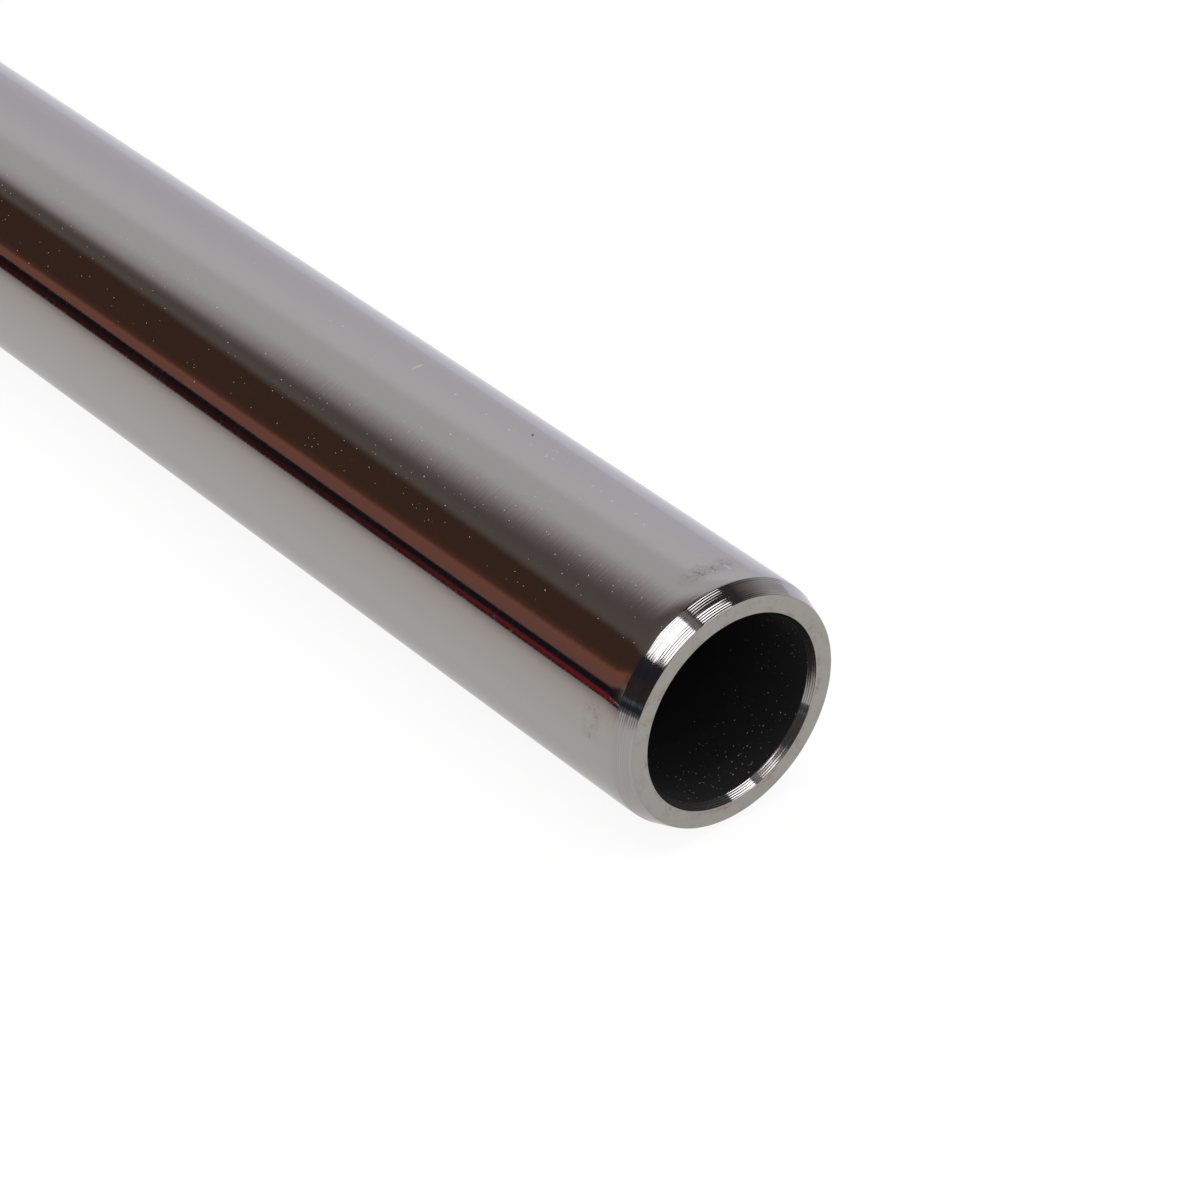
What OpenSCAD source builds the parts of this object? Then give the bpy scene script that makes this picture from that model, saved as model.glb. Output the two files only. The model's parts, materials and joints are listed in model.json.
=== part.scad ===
// Straight round metal hard tube, cut from stock, with both ends turned.
// Each end has a long shallow chamfer on the outside, a flat annular face
// and a small bevel at the mouth of the bore.
// Millimetres. The tube lies along X on the plane z = 0, and the origin is
// under its middle.

/* [Tube] */
// Outside diameter of the tube
outer_d = 13; // [8:0.5:20]
// Thickness of the tube's wall
wall = 1.5; // [1.2:0.1:2.5]
// Length of the tube, face to face
tube_length = 400; // [60:10:1000]

/* [Outer chamfer] */
// Length of the chamfer along the tube
chamfer_length = 1.1; // [0.3:0.05:3]
// Depth that the chamfer cuts into the wall at the end face
chamfer_depth = 0.41; // [0.1:0.01:0.6]

/* [Inner bevel] */
// Length of the bevel along the bore
bevel_length = 0.47; // [0.1:0.01:1.5]
// Depth that the bevel cuts into the wall at the end face
bevel_depth = 0.19; // [0.05:0.01:0.3]

/* [Deburring] */
// Distance that each edge of the end face is broken back on both its sides
edge_break = 0.05; // [0.02:0.01:0.1]

/* [Hidden] */
$fn = 128;

outer_r = outer_d / 2;
bore_r = outer_r - wall;
half_length = tube_length / 2;
face_outer_r = outer_r - chamfer_depth;
face_inner_r = bore_r + bevel_depth;

// Colour of the plating
plating = [0.42, 0.40, 0.39];

// Corners of the wall's section, as [radius, distance from the middle].
// They run over one end, from the outside surface to the bore.
chamfer_start = [outer_r, half_length - chamfer_length];
chamfer_end = [face_outer_r, half_length];
bevel_start = [face_inner_r, half_length];
bevel_end = [bore_r, half_length - bevel_length];

// Point on the way from one corner to the next, at a distance from the first
function along(from, to, distance) = from + distance * (to - from) / norm(to - from);

// Two points that break the corner between its neighbours on each side
function broken(before, corner, after) =
    [along(corner, before, edge_break), along(corner, after, edge_break)];

// Section of the wall at one end, with both edges of the face deburred
end_points = concat(
    [chamfer_start],
    broken(chamfer_start, chamfer_end, bevel_start),
    broken(chamfer_end, bevel_start, bevel_end),
    [bevel_end]
);

// The same section at the other end, in the order that closes the outline
function reversed(points) = [for (i = [len(points) - 1 : -1 : 0]) points[i]];
other_end_points = [for (p = reversed(end_points)) [p[0], -p[1]]];

// Half-section of the whole tube: the wall with both turned ends
module wall_section() {
    polygon(concat(end_points, other_end_points));
}

module tube() {
    color(plating)
        translate([0, 0, outer_r])
            rotate([0, 90, 0])
                rotate_extrude()
                    wall_section();
}

tube();
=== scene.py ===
"""Studio scene for a straight round metal hard tube that lies on a pale floor.

The tube is one turned piece in a mirror-polished dark plating. The scene keeps
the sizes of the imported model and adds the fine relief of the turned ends, the
finish of each surface and the surroundings that the mirror shows.
"""

import json
import math

import bpy
from mathutils import Matrix, Vector


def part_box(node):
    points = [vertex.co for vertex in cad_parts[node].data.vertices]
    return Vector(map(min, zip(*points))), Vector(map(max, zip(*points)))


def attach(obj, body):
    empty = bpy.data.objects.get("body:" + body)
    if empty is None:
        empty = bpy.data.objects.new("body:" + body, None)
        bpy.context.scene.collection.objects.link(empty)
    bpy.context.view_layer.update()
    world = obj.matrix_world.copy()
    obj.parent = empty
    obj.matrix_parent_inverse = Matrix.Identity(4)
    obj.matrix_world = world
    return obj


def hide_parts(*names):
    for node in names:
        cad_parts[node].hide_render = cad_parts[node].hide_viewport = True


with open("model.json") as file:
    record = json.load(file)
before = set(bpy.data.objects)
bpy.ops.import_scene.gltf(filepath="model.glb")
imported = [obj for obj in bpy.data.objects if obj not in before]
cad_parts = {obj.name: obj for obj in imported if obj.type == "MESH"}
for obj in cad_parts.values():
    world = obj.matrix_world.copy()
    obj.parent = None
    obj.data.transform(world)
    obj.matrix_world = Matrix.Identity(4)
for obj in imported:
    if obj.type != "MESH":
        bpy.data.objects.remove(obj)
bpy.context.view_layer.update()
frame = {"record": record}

MM = 0.001

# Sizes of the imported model, in millimetres
mounts = {mount["name"]: mount for mount in frame["record"]["mounts"]}
outer_r = mounts["end_plus_x"]["dims"]["r_mm"]
bore_r = mounts["bore"]["dims"]["r_mm"]
half_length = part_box("tube")[1].x / MM
chamfer_start = mounts["end_plus_x"]["dims"]["length_mm"] / 2
bevel_start = mounts["bore"]["dims"]["length_mm"] / 2
CHAMFER_DEPTH = 0.41
BEVEL_DEPTH = 0.19
face_outer_r = outer_r - CHAMFER_DEPTH
face_inner_r = bore_r + BEVEL_DEPTH

# Relief of the turned ends, in millimetres
SHOULDER_LENGTH = 0.9
SHOULDER_DROP = 0.035
GROOVE_DEPTH = 0.0035
OUTER_GROOVES = (0.9, 1.1, 0.95, 0.6, 0.25, 0.95, 1.0, 1.1, 1.2)
INNER_GROOVES = (0.6, 0.8, 0.5, 0.7)
EDGE_ROUND = 0.05

# Steps of the mesh
SEGMENTS = 288
SHOULDER_STEPS = 12
GROOVE_STEPS = 10
EDGE_STEPS = 5
FACE_STEPS = 4


def lerp(start, end, share):
    """Value on the way from start to end."""
    return start + (end - start) * share


def cut(start, end, strengths):
    """Points (x, r, groove) of a cone that a round-nosed tool has turned.

    The tool leaves one scallop for each strength on the way between two corners.
    """
    points = []
    steps = len(strengths) * GROOVE_STEPS
    for i in range(steps):
        share = i / steps
        place = (i % GROOVE_STEPS) / GROOVE_STEPS
        scallop = -4 * place * (1 - place) * strengths[i // GROOVE_STEPS] * GROOVE_DEPTH
        points.append((lerp(start[0], end[0], share), lerp(start[1], end[1], share), scallop))
    return points


def shortened(start, end, distance):
    """Point at a distance from start on the way to end."""
    length = math.dist(start, end)
    share = distance / length
    return (lerp(start[0], end[0], share), lerp(start[1], end[1], share))


def rounded(before, corner, after):
    """Points (x, r, groove) that round a corner between its neighbours."""
    first = shortened(corner, before, EDGE_ROUND)
    last = shortened(corner, after, EDGE_ROUND)
    points = []
    for i in range(EDGE_STEPS + 1):
        t = i / EDGE_STEPS
        x = (1 - t) ** 2 * first[0] + 2 * t * (1 - t) * corner[0] + t * t * last[0]
        r = (1 - t) ** 2 * first[1] + 2 * t * (1 - t) * corner[1] + t * t * last[1]
        points.append((x, r, 0.0))
    return points


def end_profile():
    """Profile of the end at +X, from the outside over the face into the bore.

    Each entry is a point (x, r, groove) and the surface that starts there.
    """
    shoulder = (chamfer_start, outer_r - SHOULDER_DROP)
    face_out = (half_length, face_outer_r)
    face_in = (half_length, face_inner_r)
    bevel_end = (bevel_start, bore_r)
    profile = []

    shoulder_foot = chamfer_start - SHOULDER_LENGTH
    for x in (0.35 * half_length, 0.8 * half_length, 0.95 * half_length, shoulder_foot - 0.3):
        profile.append(((x, outer_r, 0.0), "outside"))
    for i in range(SHOULDER_STEPS):
        share = i / SHOULDER_STEPS
        x = shoulder_foot + SHOULDER_LENGTH * share
        profile.append(((x, outer_r - SHOULDER_DROP * share * share, 0.0), "outside"))

    chamfer_end = shortened(face_out, shoulder, EDGE_ROUND)
    for point in cut(shoulder, chamfer_end, OUTER_GROOVES):
        profile.append((point, "turned"))
    for point in rounded(shoulder, face_out, face_in):
        profile.append((point, "turned"))
    profile[-1] = (profile[-1][0], "face")
    face_first = shortened(face_out, face_in, EDGE_ROUND)
    face_last = shortened(face_in, face_out, EDGE_ROUND)
    for i in range(1, FACE_STEPS):
        share = i / FACE_STEPS
        point = (half_length, lerp(face_first[1], face_last[1], share), 0.0)
        profile.append((point, "face"))
    for point in rounded(face_out, face_in, bevel_end):
        profile.append((point, "turned"))
    bevel_first = shortened(face_in, bevel_end, EDGE_ROUND)
    for x, r, scallop in cut(bevel_first, bevel_end, INNER_GROOVES)[1:]:
        profile.append(((x, r, -scallop), "turned"))
    profile.append(((bevel_end[0], bevel_end[1], 0.0), "bore"))
    for depth in (0.05, 1.0, 8.0, 0.5 * half_length):
        profile.append(((bevel_start - depth, bore_r, 0.0), "bore"))
    return profile


SURFACES = ("outside", "turned", "face", "bore")


def turned_tube():
    """Mesh of the whole tube, turned from one closed profile."""
    near = end_profile()
    far = []
    for i in range(len(near) - 1, -1, -1):
        (x, r, g), _ = near[i]
        surface = near[i - 1][1] if i else "outside"
        far.append(((-x, r, g), surface))
    profile = near + far
    vertices = []
    for (x, r, g), _ in profile:
        for j in range(SEGMENTS):
            angle = 2 * math.pi * j / SEGMENTS
            wave = 1 + 0.25 * math.sin(2 * angle + 60 * x) + 0.15 * math.sin(5 * angle + 25 * x)
            radius = r + g * wave
            y = radius * math.cos(angle)
            z = outer_r + radius * math.sin(angle)
            vertices.append((x * MM, y * MM, z * MM))
    faces = []
    surfaces = []
    rings = len(profile)
    for i in range(rings):
        here = i * SEGMENTS
        there = (i + 1) % rings * SEGMENTS
        for j in range(SEGMENTS):
            k = (j + 1) % SEGMENTS
            faces.append((here + j, there + j, there + k, here + k))
            surfaces.append(SURFACES.index(profile[i][1]))
    mesh = bpy.data.meshes.new("hard_tube")
    mesh.from_pydata(vertices, [], faces)
    mesh.polygons.foreach_set("material_index", surfaces)
    mesh.polygons.foreach_set("use_smooth", [True] * len(faces))
    mesh.update()
    return mesh


class Graph:
    """Short calls that add nodes to one tree and join them."""

    def __init__(self, tree):
        self.tree = tree
        tree.nodes.clear()

    def node(self, kind, **settings):
        made = self.tree.nodes.new(kind)
        for name, value in settings.items():
            setattr(made, name, value)
        return made

    def put(self, socket, value):
        if isinstance(value, bpy.types.NodeSocket):
            self.tree.links.new(value, socket)
        else:
            socket.default_value = value

    def math(self, operation, *values, clamp=False):
        made = self.node("ShaderNodeMath", operation=operation, use_clamp=clamp)
        for socket, value in zip(made.inputs, values):
            self.put(socket, value)
        return made.outputs[0]

    def vector(self, operation, *values):
        made = self.node("ShaderNodeVectorMath", operation=operation)
        for socket, value in zip(made.inputs, values):
            self.put(socket, value)
        return made.outputs[0]

    def combine(self, x, y, z):
        made = self.node("ShaderNodeCombineXYZ")
        for socket, value in zip(made.inputs, (x, y, z)):
            self.put(socket, value)
        return made.outputs[0]

    def separate(self, vector):
        made = self.node("ShaderNodeSeparateXYZ")
        self.put(made.inputs[0], vector)
        return made.outputs

    def smooth(self, value, low, high, start=0.0, end=1.0):
        """Smooth rise of a value from start at low to end at high."""
        made = self.node("ShaderNodeMapRange", interpolation_type="SMOOTHSTEP")
        for name, number in zip(
            ("Value", "From Min", "From Max", "To Min", "To Max"), (value, low, high, start, end)
        ):
            self.put(made.inputs[name], number)
        return made.outputs[0]

    def window(self, value, low, high, soft):
        """1 between low and high, with soft edges, and 0 outside."""
        rise = self.smooth(value, low - soft, low + soft)
        fall = self.smooth(value, high - soft, high + soft, 1.0, 0.0)
        return self.math("MULTIPLY", rise, fall)

    def noise(self, vector, scale, detail=2.0, roughness=0.5):
        made = self.node("ShaderNodeTexNoise")
        self.put(made.inputs["Vector"], vector)
        made.inputs["Scale"].default_value = scale
        made.inputs["Detail"].default_value = detail
        made.inputs["Roughness"].default_value = roughness
        return made.outputs["Fac"]

    def ramp(self, factor, stops, interpolation="LINEAR"):
        """Colour ramp from a list of (position, colour)."""
        made = self.node("ShaderNodeValToRGB")
        ramp = made.color_ramp
        ramp.interpolation = interpolation
        while len(ramp.elements) < len(stops):
            ramp.elements.new(0.5)
        for element, (position, _) in zip(ramp.elements, stops):
            element.position = position
        for element, (_, colour) in zip(ramp.elements, stops):
            element.color = (*colour, 1.0)
        self.put(made.inputs[0], factor)
        return made.outputs[0]

    def mix(self, factor, first, second):
        """Colour on the way from first to second."""
        made = self.node("ShaderNodeMix", data_type="RGBA")
        self.put(made.inputs[0], factor)
        for socket, colour in zip(made.inputs[6:8], (first, second)):
            value = colour if isinstance(colour, bpy.types.NodeSocket) else (*colour, 1.0)
            self.put(socket, value)
        return made.outputs[2]

    def blend(self, factor, first, second):
        """Number on the way from first to second."""
        made = self.node("ShaderNodeMix", data_type="FLOAT")
        self.put(made.inputs[0], factor)
        self.put(made.inputs[2], first)
        self.put(made.inputs[3], second)
        return made.outputs[0]

    def highest(self, values):
        """The highest of several numbers."""
        result = values[0]
        for value in values[1:]:
            result = self.math("MAXIMUM", result, value)
        return result


def material(name):
    """New material with an empty graph."""
    made = bpy.data.materials.new(name)
    made.use_nodes = True
    return made, Graph(made.node_tree)


class Surface:
    """Coordinates on the tube: x in millimetres, angle in degrees round the axis.

    The angle is 0 towards +Y, 90 at the top and 180 towards -Y.
    """

    def __init__(self, graph):
        self.graph = graph
        coordinates = graph.node("ShaderNodeTexCoord").outputs["Object"]
        self.point = graph.vector("SCALE", coordinates)
        self.point.node.inputs["Scale"].default_value = 1 / MM
        self.x, self.y, z = graph.separate(self.point)
        self.z = graph.math("SUBTRACT", z, outer_r)
        radians = graph.math("ARCTAN2", self.z, self.y)
        self.angle = graph.math("MULTIPLY", radians, 180 / math.pi)
        self.side = graph.math("ABSOLUTE", self.x)

    def stretched(self, along, around):
        """Vector for textures that run round the tube, in steps of x and of arc."""
        x = self.graph.math("MULTIPLY", self.x, along)
        y = self.graph.math("MULTIPLY", self.y, around)
        z = self.graph.math("MULTIPLY", self.z, around)
        return self.graph.combine(x, y, z)

    def radius(self):
        """Distance from the axis."""
        graph = self.graph
        squares = [graph.math("MULTIPLY", value, value) for value in (self.y, self.z)]
        return graph.math("SQRT", graph.math("ADD", *squares))

    def mark(self, x, angle, half_width, half_angle, slant=0.0):
        """A soft elongated mark on the outside, slanted by millimetres a degree."""
        graph = self.graph
        turn = graph.math("SUBTRACT", self.angle, angle)
        middle = graph.math("MULTIPLY_ADD", turn, slant, x)
        across = graph.math("DIVIDE", graph.math("SUBTRACT", self.x, middle), half_width)
        along = graph.math("DIVIDE", turn, half_angle)
        distance = graph.math(
            "ADD", graph.math("MULTIPLY", across, across), graph.math("MULTIPLY", along, along)
        )
        return graph.smooth(distance, 0.3, 1.2, 1.0, 0.0)

    def specks(self, cell, size, share):
        """Small specks, one in some of the cells of a grid of points."""
        graph = self.graph
        cells = graph.node("ShaderNodeTexVoronoi")
        graph.put(cells.inputs["Vector"], self.point)
        cells.inputs["Scale"].default_value = 1 / cell
        cells.inputs["Randomness"].default_value = 1.0
        red, green, _ = graph.node("ShaderNodeSeparateColor").outputs
        graph.put(red.node.inputs[0], cells.outputs["Color"])
        limit = graph.math("MULTIPLY_ADD", green, size / cell, 0.3 * size / cell)
        near = graph.math("LESS_THAN", cells.outputs["Distance"], limit)
        chosen = graph.math("LESS_THAN", red, share)
        return graph.math("MULTIPLY", near, chosen)


PLATING = (0.37, 0.36, 0.352)
DUST = (0.75, 0.74, 0.73)
TARNISH = (0.14, 0.105, 0.085)
DARK_PIT = (0.03, 0.03, 0.03)
EDGE_TINT = (0.92, 0.92, 0.93, 1.0)

# Short bright nicks along one line of the polished outside, as x and angle
NICKS = (
    (178.0, 82.0),
    (180.4, 81.5),
    (182.2, 82.0),
    (183.9, 82.0),
    (185.2, 83.0),
    (185.6, 82.0),
    (188.6, 82.0),
    (189.2, 82.0),
    (190.2, 83.5),
    (191.7, 81.5),
    (192.7, 84.5),
)


def finish(graph, colour, roughness, metallic=1.0, normal=None):
    """Joins the values of one surface to its shader and output."""
    shader = graph.node("ShaderNodeBsdfPrincipled")
    if not isinstance(colour, bpy.types.NodeSocket):
        colour = (*colour, 1.0)
    graph.put(shader.inputs["Base Color"], colour)
    graph.put(shader.inputs["Roughness"], roughness)
    graph.put(shader.inputs["Metallic"], metallic)
    shader.inputs["Specular Tint"].default_value = EDGE_TINT
    if normal is not None:
        graph.put(shader.inputs["Normal"], normal)
    output = graph.node("ShaderNodeOutputMaterial")
    graph.put(output.inputs["Surface"], shader.outputs[0])


def bump(graph, height, distance, normal=None):
    """Bump of a height texture, in metres."""
    made = graph.node("ShaderNodeBump")
    made.inputs["Strength"].default_value = 1.0
    made.inputs["Distance"].default_value = distance
    graph.put(made.inputs["Height"], height)
    if normal is not None:
        graph.put(made.inputs["Normal"], normal)
    return made.outputs[0]


def polished():
    """Mirror polish with buffing lines, dust, nicks and a ring of tarnish."""
    made, graph = material("polished_plating")
    surface = Surface(graph)

    lines = graph.noise(surface.stretched(13.0, 0.9), 1.0, 3.0, 0.6)
    haze = graph.noise(surface.stretched(0.5, 0.5), 1.0, 3.0, 0.55)
    on_top = graph.window(surface.angle, 20.0, 158.0, 15.0)
    dust = graph.highest([surface.specks(0.46, 0.024, 0.6), surface.specks(0.27, 0.017, 0.8)])
    clouds = graph.noise(surface.point, 0.3, 2.0, 0.6)
    dense = graph.window(surface.angle, 114.0, 142.0, 8.0)
    dusty = graph.math("GREATER_THAN", clouds, graph.math("MULTIPLY_ADD", dense, -0.2, 0.57))
    dust = graph.math("MULTIPLY", dust, graph.math("MULTIPLY", dusty, on_top))

    nicks = graph.highest([surface.mark(x, angle, 0.045, 1.0, 0.03) for x, angle in NICKS])
    scratch = surface.mark(174.75, 81.0, 0.09, 4.0, 0.03)
    bright_nick = surface.mark(197.68, 77.0, 0.28, 0.5)
    bright = graph.highest([nicks, scratch, bright_nick])
    pit = surface.mark(183.1, 75.2, 0.07, 1.4, 0.08)

    patches = graph.noise(surface.point, 0.9, 3.0, 0.6)
    grains = graph.highest([surface.specks(0.13, 0.055, 0.8), surface.specks(0.19, 0.06, 0.6)])
    ring = graph.window(surface.side, 197.0, 197.8, 0.4)
    above = graph.window(surface.angle, 70.0, 97.0, 7.0)
    beside = graph.window(surface.angle, 164.0, 190.0, 6.0)
    ring = graph.math("MULTIPLY", ring, graph.math("MAXIMUM", above, beside))
    dull = graph.math("MULTIPLY", ring, graph.smooth(patches, 0.36, 0.56))
    tarnish = graph.math("MULTIPLY", dull, graph.math("MULTIPLY_ADD", grains, 0.6, 0.3))

    colour = graph.mix(graph.math("MULTIPLY", tarnish, 0.8), PLATING, TARNISH)
    colour = graph.mix(pit, colour, DARK_PIT)
    colour = graph.mix(graph.math("MULTIPLY", bright, 0.8), colour, DUST)
    colour = graph.mix(graph.math("MULTIPLY", dust, 0.7), colour, DUST)

    roughness = graph.math("MULTIPLY_ADD", graph.smooth(lines, 0.45, 0.75), 0.07, 0.035)
    roughness = graph.math("ADD", roughness, graph.smooth(haze, 0.5, 0.8, 0.0, 0.05))
    roughness = graph.blend(tarnish, roughness, 0.3)
    roughness = graph.blend(graph.math("MAXIMUM", bright, dust), roughness, 0.6)

    relief = bump(graph, lines, 0.0000019)
    finish(graph, colour, roughness, graph.math("SUBTRACT", 1.0, dust), relief)
    return made


def turned():
    """Bright cut surface of the chamfer and the bevel."""
    made, graph = material("turned_plating")
    surface = Surface(graph)
    lines = graph.noise(surface.stretched(30.0, 0.2), 1.0, 2.0, 0.5)
    colour = graph.mix(graph.smooth(lines, 0.35, 0.7), (0.34, 0.33, 0.33), (0.40, 0.39, 0.385))
    roughness = graph.math("MULTIPLY_ADD", lines, 0.06, 0.05)
    relief = bump(graph, lines, 0.0000004)
    inside = graph.math("LESS_THAN", surface.radius(), (face_inner_r + face_outer_r) / 2)
    finish(graph, colour, roughness, graph.math("MULTIPLY_ADD", inside, -0.1, 1.0), relief)
    return made


def faced():
    """Flat ring of the end face, faintly turned, with tarnish at its edges."""
    made, graph = material("faced_plating")
    surface = Surface(graph)
    radius = surface.radius()
    rings = graph.noise(graph.combine(graph.math("MULTIPLY", radius, 14.0), 0.0, 0.0), 1.0, 2.0, 0.5)
    patches = graph.noise(surface.point, 1.1, 4.0, 0.6)
    grain = graph.noise(surface.point, 6.0, 3.0, 0.6)
    near_inside = graph.smooth(radius, face_inner_r + 0.05, face_inner_r + 0.35, 1.0, 0.45)
    near_outside = graph.smooth(radius, face_outer_r - 0.2, face_outer_r, 0.0, 1.0)
    near_edge = graph.math("MAXIMUM", near_inside, near_outside)
    tarnish = graph.math("MULTIPLY", graph.smooth(patches, 0.42, 0.7), near_edge)
    tarnish = graph.math("MULTIPLY", tarnish, graph.smooth(grain, 0.35, 0.6))
    colour = graph.mix(tarnish, (0.372, 0.364, 0.356), (0.26, 0.20, 0.15))
    roughness = graph.math("MULTIPLY_ADD", grain, 0.04, 0.26)
    relief = bump(graph, rings, 0.0000005)
    finish(graph, colour, roughness, 1.0, relief)
    return made


def bore_wall():
    """Dark dull wall of the bore, with dust near its mouth."""
    made, graph = material("bore_wall")
    surface = Surface(graph)
    dust = graph.highest([surface.specks(0.17, 0.022, 0.6), surface.specks(0.3, 0.03, 0.6)])
    patches = graph.noise(surface.point, 0.5, 3.0, 0.6)
    mouth = graph.smooth(surface.side, half_length - 7.0, half_length - 1.5, 0.2, -0.05)
    dusty = graph.math("GREATER_THAN", patches, graph.math("ADD", mouth, 0.42))
    dust = graph.math("MULTIPLY", dust, dusty)
    colour = graph.mix(dust, (0.015, 0.015, 0.016), (0.5, 0.5, 0.5))
    finish(graph, colour, 0.75, 0.0)
    return made


def add_object(name, mesh):
    """Links a new object that shows a mesh."""
    made = bpy.data.objects.new(name, mesh)
    bpy.context.scene.collection.objects.link(made)
    return made


tube = add_object("hard_tube", turned_tube())
for maker in (polished, turned, faced, bore_wall):
    tube.data.materials.append(maker())
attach(tube, "root")
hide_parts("tube")

# Colours of the surroundings that the mirror shows
WHITE = (1.0, 1.0, 1.0)
COOL_WHITE = (0.82, 0.81, 0.88)
BRIGHT = (0.97, 0.95, 0.99)
PALE = (0.81, 0.80, 0.82)
WARM_MIDDLE = (0.60, 0.55, 0.55)
WARM_DUSK = (0.24, 0.205, 0.20)
SHADE = (0.155, 0.13, 0.12)
WARM_SHADE = (0.178, 0.144, 0.131)
BROWN = (0.085, 0.044, 0.030)
RUST = (0.14, 0.055, 0.035)
COPPER = (0.33, 0.128, 0.09)
COPPER_SHADE = (0.26, 0.13, 0.105)
NIGHT = (0.035, 0.03, 0.032)
BLUE_NIGHT = (0.027, 0.03, 0.038)
BROWN_NIGHT = (0.052, 0.042, 0.036)
SOFT_GREY = (0.58, 0.56, 0.57)
DIM_GREY = (0.16, 0.145, 0.14)
HALF_GREY = (0.30, 0.27, 0.26)
DARK_GREY = (0.055, 0.048, 0.045)
BLUE_GREY = (0.13, 0.165, 0.20)
BLUE_SHADE = (0.05, 0.06, 0.07)
FILL = (0.8, 0.8, 0.8)
LAMP = (1.0, 0.965, 0.975)

# Surroundings beside the tube, by degrees round its axis from +Y over the top
BESIDE = (
    (0.0, COOL_WHITE),
    (38.0, BRIGHT),
    (50.0, BRIGHT),
    (57.0, PALE),
    (78.0, PALE),
    (88.0, WARM_MIDDLE),
    (102.0, WARM_DUSK),
    (112.0, SHADE),
    (128.0, WARM_SHADE),
    (134.0, BROWN),
    (153.0, BROWN),
    (158.0, RUST),
    (161.0, COPPER),
    (173.0, COPPER_SHADE),
    (174.5, NIGHT),
    (180.0, NIGHT),
)

# Surroundings straight above the tube's end, in the same way
ABOVE = (
    (0.0, PALE),
    (8.0, DIM_GREY),
    (32.0, DARK_GREY),
    (89.0, DARK_GREY),
    (91.5, HALF_GREY),
    (132.0, HALF_GREY),
    (134.0, BLUE_NIGHT),
    (150.0, BLUE_NIGHT),
    (156.0, BROWN_NIGHT),
    (168.5, BROWN_NIGHT),
    (169.5, BLUE_GREY),
    (171.5, BLUE_GREY),
    (172.5, NIGHT),
    (176.5, NIGHT),
    (177.5, BLUE_GREY),
    (180.0, BLUE_GREY),
)

# Surroundings a little aside from the end, which the flanks of the grooves show
GAP = (
    (0.0, SOFT_GREY),
    (18.0, SOFT_GREY),
    (34.0, HALF_GREY),
    (44.0, DIM_GREY),
    (50.0, DARK_GREY),
    (89.0, DARK_GREY),
    (91.5, HALF_GREY),
    (115.0, HALF_GREY),
    (134.0, NIGHT),
    (180.0, NIGHT),
)

# Surroundings on the way between the two
BETWEEN = (
    (0.0, COOL_WHITE),
    (20.0, PALE),
    (45.0, SOFT_GREY),
    (58.0, DIM_GREY),
    (89.0, DARK_GREY),
    (91.5, HALF_GREY),
    (115.0, HALF_GREY),
    (134.0, WARM_SHADE),
    (137.0, BROWN_NIGHT),
    (161.0, BROWN_NIGHT),
    (165.0, HALF_GREY),
    (172.0, HALF_GREY),
    (177.0, BLUE_SHADE),
    (180.0, BLUE_SHADE),
)


def half_turn(stops):
    """Stops of a ramp that runs over 180 degrees."""
    return [(degrees / 180, colour) for degrees, colour in stops]


def make_world():
    """Surroundings: white to the camera, plain to dull surfaces, a studio to mirrors."""
    world = bpy.data.worlds.new("studio")
    world.use_nodes = True
    graph = Graph(world.node_tree)
    direction = graph.node("ShaderNodeTexCoord").outputs["Generated"]
    x, y, z = graph.separate(direction)
    side = graph.math("ABSOLUTE", x)
    turn = graph.math("MULTIPLY", graph.math("ARCTAN2", graph.math("ABSOLUTE", z), y), 1 / math.pi)
    lean = graph.smooth(turn, 106 / 180, 127 / 180, 190 / 180, -40 / 180)
    lean = graph.math("ADD", lean, graph.smooth(turn, 138 / 180, 152 / 180, 0.0, 100 / 180))
    offset = graph.math("MULTIPLY", graph.math("SUBTRACT", 0.635, side), lean)
    beside = graph.ramp(graph.math("ADD", turn, offset), half_turn(BESIDE))
    above = graph.ramp(turn, half_turn(ABOVE))
    between = graph.ramp(turn, half_turn(BETWEEN))
    gap = graph.ramp(turn, half_turn(GAP))
    inner = graph.mix(graph.smooth(side, 0.10, 0.14), above, gap)
    inner = graph.mix(graph.smooth(side, 0.36, 0.44), inner, between)
    mirror = graph.mix(graph.smooth(side, 0.47, 0.55), inner, beside)
    path = graph.node("ShaderNodeLightPath")
    plain = graph.mix(path.outputs["Is Camera Ray"], FILL, WHITE)
    colour = graph.mix(path.outputs["Is Glossy Ray"], plain, mirror)
    background = graph.node("ShaderNodeBackground")
    graph.put(background.inputs["Color"], colour)
    output = graph.node("ShaderNodeOutputWorld")
    graph.put(output.inputs["Surface"], background.outputs[0])
    bpy.context.scene.world = world


def flat(name, corners):
    """Flat object of the stage."""
    mesh = bpy.data.meshes.new(name)
    mesh.from_pydata(corners, [], [list(range(len(corners)))])
    made = add_object(name, mesh)
    return made


FLOOR_HALF = 4.0
FLOOR_DULL = 0.12
FLOOR_CAMERA = 0.9
FLOOR_MIRROR = 0.9
# Painted shadow of the table edge on the floor, seen only in the mirror: where it starts in y and its
# half length along x
RAIL_SHADOW_EDGE = -0.096
RAIL_SHADOW_HALF = 0.12

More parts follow.
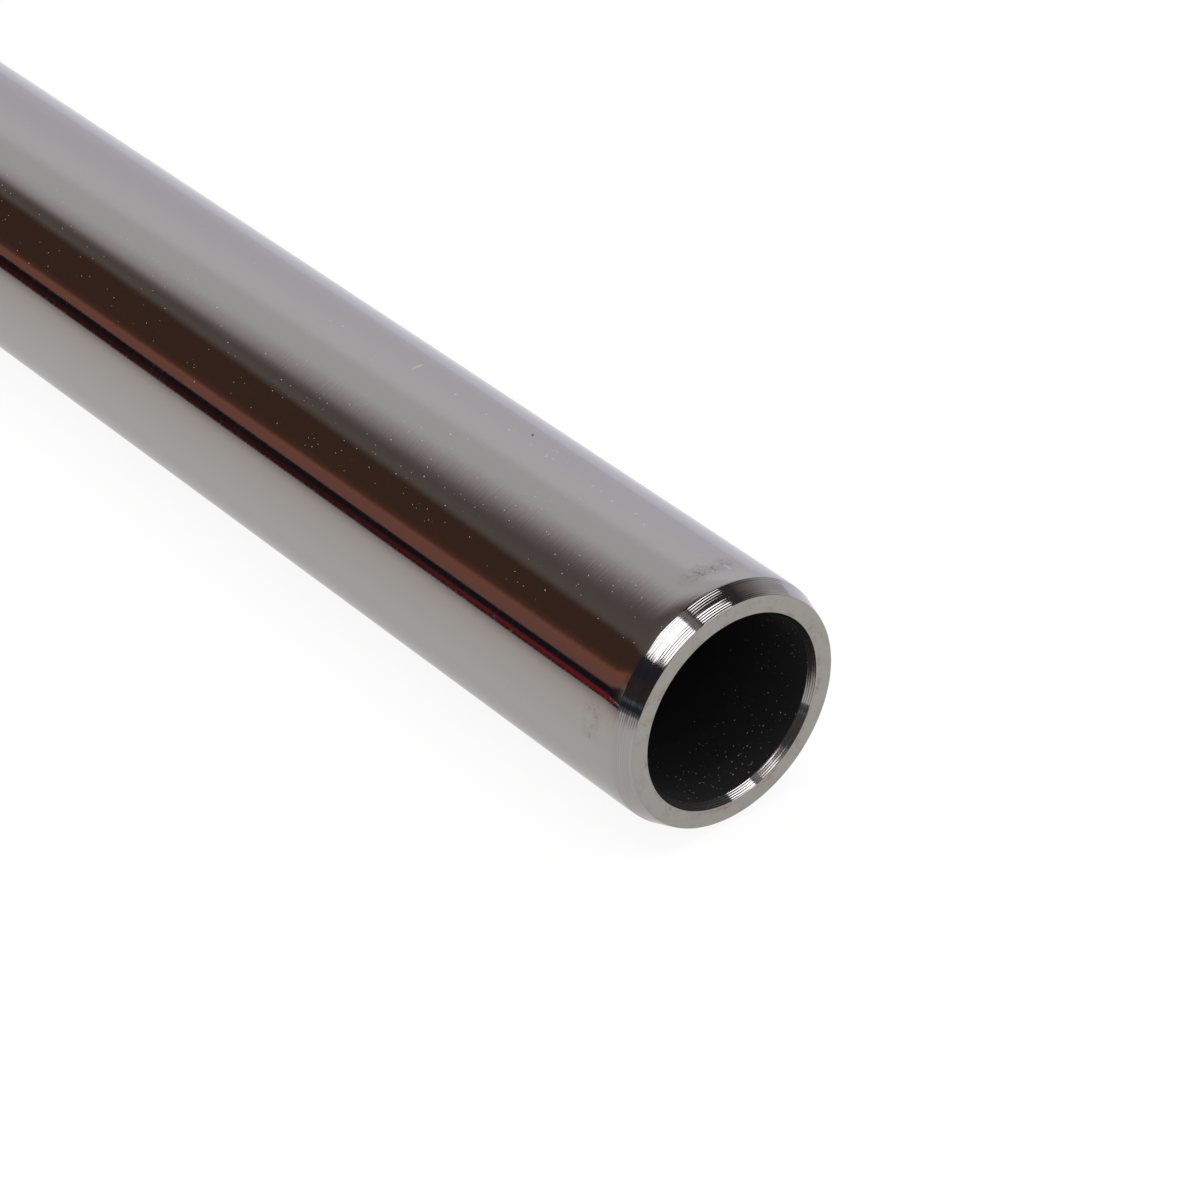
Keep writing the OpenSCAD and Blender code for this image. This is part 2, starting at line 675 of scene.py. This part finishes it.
# Brightness of the floor that the mirror shows, by millimetres from the axis. The dip near the axis is a
# painted shadow of the tube, and the floor is darker towards -Y.
FLOOR_TONES_AND_SHADOW = (
    (-160.0, (0.34, 0.28, 0.26)),
    (-90.0, (0.34, 0.28, 0.26)),
    (-61.0, (0.48, 0.42, 0.40)),
    (-40.0, (0.69, 0.615, 0.58)),
    (-20.0, (0.81, 0.775, 0.735)),
    (-9.0, (0.84, 0.84, 0.81)),
    (-4.0, (0.68, 0.68, 0.66)),
    (1.0, (0.71, 0.69, 0.66)),
    (5.0, (0.89, 0.85, 0.81)),
    (13.0, (0.89, 0.85, 0.81)),
    (26.0, (0.87, 0.87, 0.96)),
    (160.0, (0.87, 0.87, 0.96)),
)
# Tone of the floor past the tube's end, where the painted shadow of the tube stops
END_TONE = (0.80, 0.775, 0.74)


def make_floor():
    """Pale floor that is white to the camera and keeps the tube's shadow."""
    floor = flat("floor", [
        (-FLOOR_HALF, -FLOOR_HALF, 0),
        (FLOOR_HALF, -FLOOR_HALF, 0),
        (FLOOR_HALF, FLOOR_HALF, 0),
        (-FLOOR_HALF, FLOOR_HALF, 0),
    ])
    made, graph = material("pale_floor")
    coordinates = graph.node("ShaderNodeTexCoord").outputs["Object"]
    x, y, _ = graph.separate(coordinates)
    span = FLOOR_TONES_AND_SHADOW[-1][0] * MM
    place = graph.math("MULTIPLY_ADD", y, 1 / (2 * span), 0.5)
    low = FLOOR_TONES_AND_SHADOW[0][0]
    width = FLOOR_TONES_AND_SHADOW[-1][0] - low
    # Mirror tones of the floor, with the painted shadow of the tube near the axis
    tones = graph.ramp(place, [((d - low) / width, colour) for d, colour in FLOOR_TONES_AND_SHADOW])
    tones = graph.mix(graph.smooth(x, 0.19, 0.198), tones, END_TONE)
    path = graph.node("ShaderNodeLightPath")
    glow = graph.node("ShaderNodeEmission")
    beyond = graph.math("LESS_THAN", y, RAIL_SHADOW_EDGE)
    beside = graph.math("LESS_THAN", graph.math("ABSOLUTE", x), RAIL_SHADOW_HALF)
    # Painted shadow of the table edge on the floor, for mirror rays only
    strip = graph.math("MULTIPLY", graph.math("MULTIPLY", beyond, beside), path.outputs["Is Glossy Ray"])
    tones = graph.mix(path.outputs["Is Glossy Ray"], WHITE, tones)
    graph.put(glow.inputs["Color"], graph.mix(strip, tones, NIGHT))
    strength = graph.math("MULTIPLY", path.outputs["Is Camera Ray"], FLOOR_CAMERA)
    strength = graph.math("MULTIPLY_ADD", path.outputs["Is Glossy Ray"], FLOOR_MIRROR, strength)
    graph.put(glow.inputs["Strength"], strength)
    dull = graph.node("ShaderNodeBsdfDiffuse")
    # No dull floor inside the painted shadow of the table edge
    level = graph.math("MULTIPLY_ADD", strip, -FLOOR_DULL, FLOOR_DULL)
    graph.put(dull.inputs["Color"], graph.combine(level, level, level))
    both = graph.node("ShaderNodeAddShader")
    graph.put(both.inputs[0], glow.outputs[0])
    graph.put(both.inputs[1], dull.outputs[0])
    output = graph.node("ShaderNodeOutputMaterial")
    graph.put(output.inputs["Surface"], both.outputs[0])
    floor.data.materials.append(made)


RAIL_Y = -0.15
RAIL_HALF = 0.1
RAIL_HEIGHT = 0.024
RAIL_BLACK = (0.012, 0.014, 0.018)
RED = (0.30, 0.022, 0.028)
DIM_RED = (0.07, 0.012, 0.012)


def make_rail():
    """Dark strip with a red line at the edge of the table, seen only in the mirror."""
    rail = flat("table_edge", [
        (-RAIL_HALF, RAIL_Y, 0.0),
        (RAIL_HALF, RAIL_Y, 0.0),
        (RAIL_HALF, RAIL_Y, RAIL_HEIGHT),
        (-RAIL_HALF, RAIL_Y, RAIL_HEIGHT),
    ])
    made, graph = material("table_edge")
    x, _, z = graph.separate(graph.node("ShaderNodeTexCoord").outputs["Object"])
    red = graph.window(z, 0.0008, 0.0098, 0.0008)
    reds = graph.mix(graph.smooth(x, 0.035, 0.085), DIM_RED, RED)
    glow = graph.node("ShaderNodeEmission")
    graph.put(glow.inputs["Color"], graph.mix(red, RAIL_BLACK, reds))
    output = graph.node("ShaderNodeOutputMaterial")
    graph.put(output.inputs["Surface"], glow.outputs[0])
    rail.data.materials.append(made)
    rail.visible_camera = False
    rail.visible_diffuse = False
    rail.visible_shadow = False


PANEL_DISTANCE = 0.8
FRONT_RADIANCE = 3.4
FRONT_CORNERS = (
    (-0.2, 112.0),
    (-0.06, 97.0),
    (0.235, 97.0),
    (0.28, 114.0),
    (0.22, 135.5),
    (-0.2, 115.0),
)
RIGHT_RADIANCE = 3.8
RIGHT_CORNERS = (
    (0.178, 60.0),
    (0.45, 60.0),
    (0.45, 88.0),
    (0.178, 88.0),
)


def softbox(name, corners, radiance):
    """Glowing panel above the tube, hidden from the camera.

    A corner is x in metres and the degrees round the tube's axis from +Y over the top.
    """
    points = []
    for x, turn in corners:
        angle = math.radians(turn)
        points.append((x, PANEL_DISTANCE * math.cos(angle), PANEL_DISTANCE * math.sin(angle)))
    panel = flat(name, points)
    made, graph = material(name)
    glow = graph.node("ShaderNodeEmission")
    glow.inputs["Color"].default_value = (*LAMP, 1.0)
    glow.inputs["Strength"].default_value = radiance
    output = graph.node("ShaderNodeOutputMaterial")
    graph.put(output.inputs["Surface"], glow.outputs[0])
    panel.data.materials.append(made)
    panel.visible_camera = False


make_world()
make_floor()
make_rail()
softbox("softbox_front", FRONT_CORNERS, FRONT_RADIANCE)
softbox("softbox_right", RIGHT_CORNERS, RIGHT_RADIANCE)

# Camera: where it looks from, in degrees, and where it stands, in metres
AZIMUTH = math.radians(50.7)
ELEVATION = math.radians(34.5)
CAMERA_PLACE = Vector((0.3221, -0.10842, 0.12544))

camera = bpy.data.cameras.new("camera")
camera.sensor_width = 36.0
camera.lens = 132.3
camera.clip_start = 0.01
camera.clip_end = 20.0
viewer = bpy.data.objects.new("camera", camera)
bpy.context.scene.collection.objects.link(viewer)
backward = Vector((
    math.sin(AZIMUTH) * math.cos(ELEVATION),
    -math.cos(AZIMUTH) * math.cos(ELEVATION),
    math.sin(ELEVATION),
))
right = Vector((math.cos(AZIMUTH), math.sin(AZIMUTH), 0.0))
turned_view = Matrix((right, backward.cross(right), backward)).transposed()
viewer.matrix_world = Matrix.Translation(CAMERA_PLACE) @ turned_view.to_4x4()
bpy.context.scene.camera = viewer

bpy.context.scene.view_settings.view_transform = "Standard"
